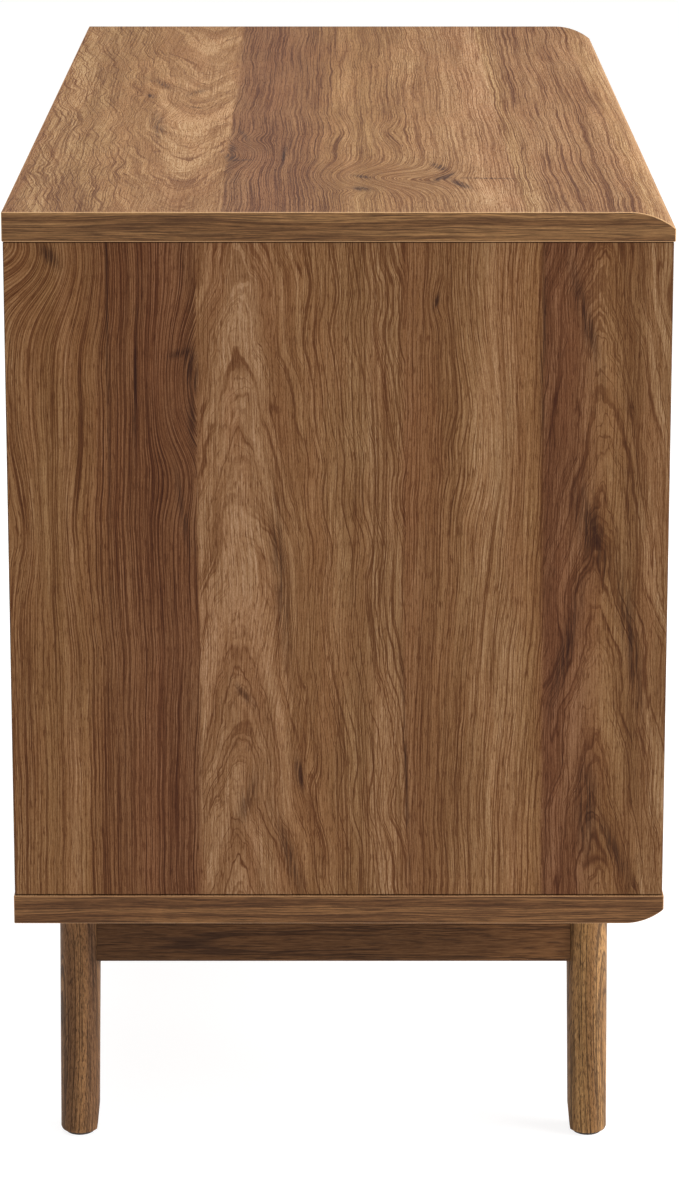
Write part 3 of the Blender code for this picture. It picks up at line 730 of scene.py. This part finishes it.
# Where the pith lies from the middle of a leg or a rail, and from a corner of a drawer piece, in mm
LEG_PITH_ASIDE, FRONT_LEG_PITH, REAR_LEG_PITH = 14.0, -30.0, 34.0
RAIL_PITH_ASIDE, RAIL_PITH_DOWN = 40.0, 6.0
BOX_PITH, BOX_PITH_STEP = 60.0, 25.0
RAIL_RING = 1.5


def dress(node, mat):
    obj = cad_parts[node]
    if not obj.data.materials:
        obj.data.materials.append(mat)
    for slot in obj.material_slots:
        slot.material = mat


def dress_boards():
    """Each board is cut from its own place on the print: (axis, sign, offset in mm).

    The top and the left side overlap there, so both show the knots, the swirl and the arch.
    """
    full = ("knots", "swirl", "arch")
    # The top takes a lighter tint as painted light
    top = board_material(
        "top_print", Z, (Y, 1, 43.0), (X, 1, HALF_LENGTH - 111.0), full, tint=TOP_LIGHT_TINT
    )
    dress("top", top)
    # The sides take a darker tint as painted shade, and their arrises take a painted seam shadow
    sides = {"tint": SIDE_SHADE_TINT, "arris_paint": SEAM_SHADOW}
    left = board_material(
        "left_print", X, (Y, -1, REAR), (Z, -1, SIDE_TOP), (*full, "purple"), **sides
    )
    dress("side_left", left)
    right = board_material("right_print", X, (Y, 1, REAR), (Z, 1, 60.0), ("arch",), **sides)
    dress("side_right", right)
    # The bottom takes a darker tint as painted shade
    bottom = board_material("bottom_print", Z, (Y, -1, 40.0), (X, -1, 900.0), tint=BOTTOM_SHADE_TINT)
    dress("bottom", bottom)
    dress("divider", board_material("divider_print", X, (Y, -1, 190.0), (Z, 1, 1400.0)))
    back = board_material("back_panel_print", Y, (X, 0.72, 120.0), (Z, -1, 5200.0), rough=0.6)
    dress("back_panel", back)
    for i, side in enumerate(("left", "right")):
        deck = board_material(f"deck_{side}_print", Z, (Y, 1, 60.0 - 90.0 * i), (X, 1, 2100.0))
        dress(f"deck_{side}", deck)
        shelf = board_material(f"shelf_{side}_print", Z, (Y, -1, 120.0 + 70 * i), (X, 1, 2900.0))
        dress(f"shelf_{side}", shelf)
        door = board_material(f"door_{side}_print", Y, (Z, -1, 410.0), (X, 1, 3600.0))
        dress(f"door_{side}", door)
        front = board_material(f"drawer_{side}_print", Y, (Z, -1, 610.0), (X, 1, 3600.0))
        dress(f"drawer_{side}_front", front)


def middle_of(node):
    """The middle of a node's box, in mm."""
    low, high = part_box(node)
    return [(a + b) / 2 * MM for a, b in zip(low, high)]


def dress_stand():
    """Legs and rails, each with its pith outside the wood, and the felt glides."""
    # the rear legs take the darker copy of the walnut as painted shade
    legs = (("front", FRONT_LEG_PITH, WALNUT), ("rear", REAR_LEG_PITH, WALNUT_REAR_SHADED))
    for side, sign in (("left", -1), ("right", 1)):
        for where, pith_y, palette in legs:
            node = f"leg_{where}_{side}"
            middle = middle_of(node)
            pith = (middle[X] + sign * LEG_PITH_ASIDE, middle[Y] + pith_y)
            dress(node, solid_wood(f"{node}_wood", Z, pith, palette))
            glide = f"glide_{where}_{side}"
            dress(glide, moulded_material(f"{glide}_felt", *FELT))
        node = f"leg_rail_{side}"
        middle = middle_of(node)
        pith = (middle[X] + sign * RAIL_PITH_ASIDE, middle[Z] - RAIL_PITH_DOWN)
        # the rail's darker walnut is partly painted shade under the bottom board
        dress(node, solid_wood(f"{node}_wood", Y, pith, WALNUT_DARK_SHADED, spacing=RAIL_RING, turn=-1.0))


def dress_drawers():
    """Birch drawer boxes, each piece from its own place in the tree."""
    parts = (("side_left", Y), ("side_right", Y), ("back", X), ("bottom", X))
    for side in ("left", "right"):
        for part, axis in parts:
            node = f"drawer_{side}_{part}"
            low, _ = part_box(node)
            others = [i for i in range(3) if i != axis]
            pith = [low[i] * MM - BOX_PITH - BOX_PITH_STEP * k for k, i in enumerate(others)]
            dress(node, solid_wood(f"{node}_birch", axis, pith, BIRCH, **BIRCH_FINISH))


def dress_hardware():
    """Steel runners, pins and strikes, and plastic bushes and catches."""
    steel_y = steel_material("drawn_steel", Y)
    steel_x = steel_material("turned_steel_x", X)
    steel_z = steel_material("turned_steel_z", Z)
    plastic = moulded_material("brown_plastic", *BROWN_PLASTIC)
    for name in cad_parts:
        if name.startswith(("runner_", "slide_")):
            dress(name, steel_y)
        elif name.startswith("shelf_pin_"):
            dress(name, steel_x)
        elif name.startswith(("door_pin_", "catch_strike_")):
            dress(name, steel_z)
        elif name.startswith(("pivot_bush_", "catch_")):
            dress(name, plastic)


# ---------------------------------------------------------------- studio
FLOOR_HALF = 30.0
FLOOR_DROP = 0.0005
FLOOR_GLOW = 0.865
FLOOR_TONES = (0.30, 0.30, 0.30), (0.31, 0.31, 0.31)
# World light by the height of the direction: white at the horizon, where it meets the floor
HORIZON_END, SKY_START = 0.06, 0.18
HORIZON_LIGHT, SKY_LIGHT = 1.02, 0.38
# Softboxes: name, place, target and size in m, and watts
SOFTBOXES = (
    ("overhead_softbox", (0.1, -0.1, 2.6), (0.0, 0.0, 0.5), (2.4, 1.8), 75.0),
    ("front_softbox", (-0.7, -2.3, 0.9), (-0.2, 0.0, 0.3), (1.6, 1.6), 92.0),
)
# Camera: place in m, pitch down in degrees, lens and sensor in mm, and shifts of the frame
CAMERA_PLACE = (-2.60, -0.0018, 1.0151)
CAMERA_PITCH = 11.952
CAMERA_LENS = 115.1
CAMERA_SENSOR = 36.0
CAMERA_SHIFT_X, CAMERA_SHIFT_Y = -0.0019, -0.25


def build_floor():
    """A white floor that glows enough to have no horizon."""
    bm = bmesh.new()
    bmesh.ops.create_grid(bm, x_segments=1, y_segments=1, size=FLOOR_HALF)
    mesh = bpy.data.meshes.new("studio_floor")
    bm.to_mesh(mesh)
    bm.free()
    floor = bpy.data.objects.new("studio_floor", mesh)
    floor.location.z = -FLOOR_DROP
    SCENE.collection.objects.link(floor)
    mat, net, shader = new_material("studio_floor_white", 0.9, specular=0.0)
    _, _, where = net.place()
    cloud = net.noise(where, scale=3.0, detail=2.0, dims="3D")
    net.feed(shader.inputs["Base Color"], net.mix(cloud, *FLOOR_TONES))
    shader.inputs["Emission Color"].default_value = WHITE
    shader.inputs["Emission Strength"].default_value = FLOOR_GLOW
    mesh.materials.append(mat)


def area_light(name, place, target, size, power):
    """A white softbox of size (width, height) in m that points at its target, with its watts."""
    data = bpy.data.lights.new(name, "AREA")
    data.shape = "RECTANGLE"
    data.size, data.size_y = size
    data.energy = power
    light = bpy.data.objects.new(name, data)
    light.location = place
    light.rotation_euler = (Vector(target) - Vector(place)).to_track_quat("-Z", "Y").to_euler()
    SCENE.collection.objects.link(light)


def build_lights():
    """A soft white world, one softbox above and one before the front."""
    world = bpy.data.worlds.new("studio_white")
    world.use_nodes = True
    net = Net(world.node_tree)
    background = world.node_tree.nodes["Background"]
    background.inputs[0].default_value = WHITE
    direction = Value(net, net.node("ShaderNodeTexCoord").outputs["Generated"])
    height = net.split(direction)[Z]
    light = net.remap(height, HORIZON_END, SKY_START, HORIZON_LIGHT, SKY_LIGHT)
    net.feed(background.inputs[1], light)
    SCENE.world = world
    for softbox in SOFTBOXES:
        area_light(*softbox)


def build_camera():
    """Looks along +X from the left end, a little from above."""
    data = bpy.data.cameras.new("camera")
    data.sensor_width = CAMERA_SENSOR
    data.lens = CAMERA_LENS
    data.shift_x = CAMERA_SHIFT_X
    data.shift_y = CAMERA_SHIFT_Y
    data.dof.use_dof = False
    cam = bpy.data.objects.new("camera", data)
    cam.location = CAMERA_PLACE
    cam.rotation_euler = (math.radians(90.0 - CAMERA_PITCH), 0.0, math.radians(-90.0))
    SCENE.collection.objects.link(cam)
    SCENE.camera = cam


SCENE.view_settings.view_transform = "Standard"
build_camera()
build_floor()
build_lights()
dress_boards()
dress_stand()
dress_drawers()
dress_hardware()
